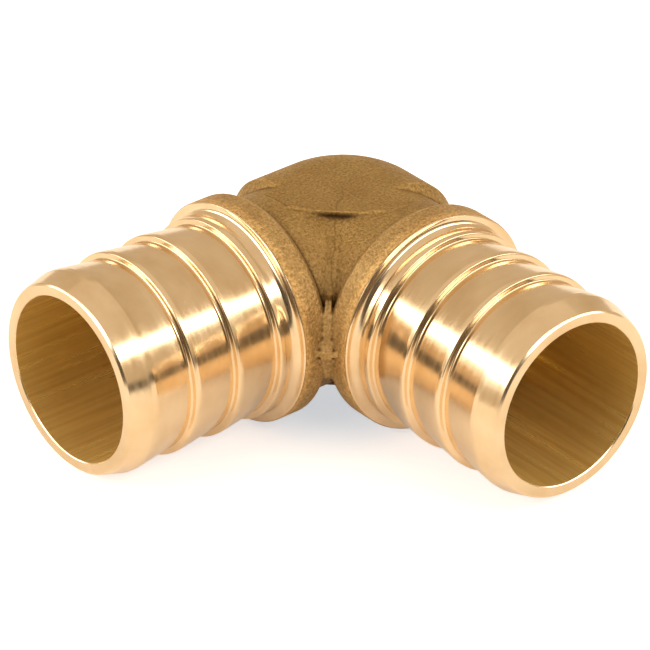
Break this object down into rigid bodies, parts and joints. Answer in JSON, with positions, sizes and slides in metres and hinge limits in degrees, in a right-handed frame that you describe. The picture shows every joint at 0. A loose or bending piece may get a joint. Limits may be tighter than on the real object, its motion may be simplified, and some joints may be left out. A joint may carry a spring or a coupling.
{
  "type": "pex crimp elbow fitting",
  "caption": "Right-angle brass elbow with a barbed insert and a collar on each arm, for flexible water tube held by crimp rings.",
  "frame": {"origin": "crossing of the two bore axes, in the parting plane of the forging", "axes": "+X out along the bore of arm A, +Y out along the bore of arm B, +Z square to both bores"},
  "size_m": [0.0497, 0.0497, 0.0248],
  "materials": {
    "brass": "forged body left grainy, inserts and collar faces turned bright"
  },
  "bodies": {
    "root": {"elbow_fitting": "brass"}
  },
  "joints": []
}
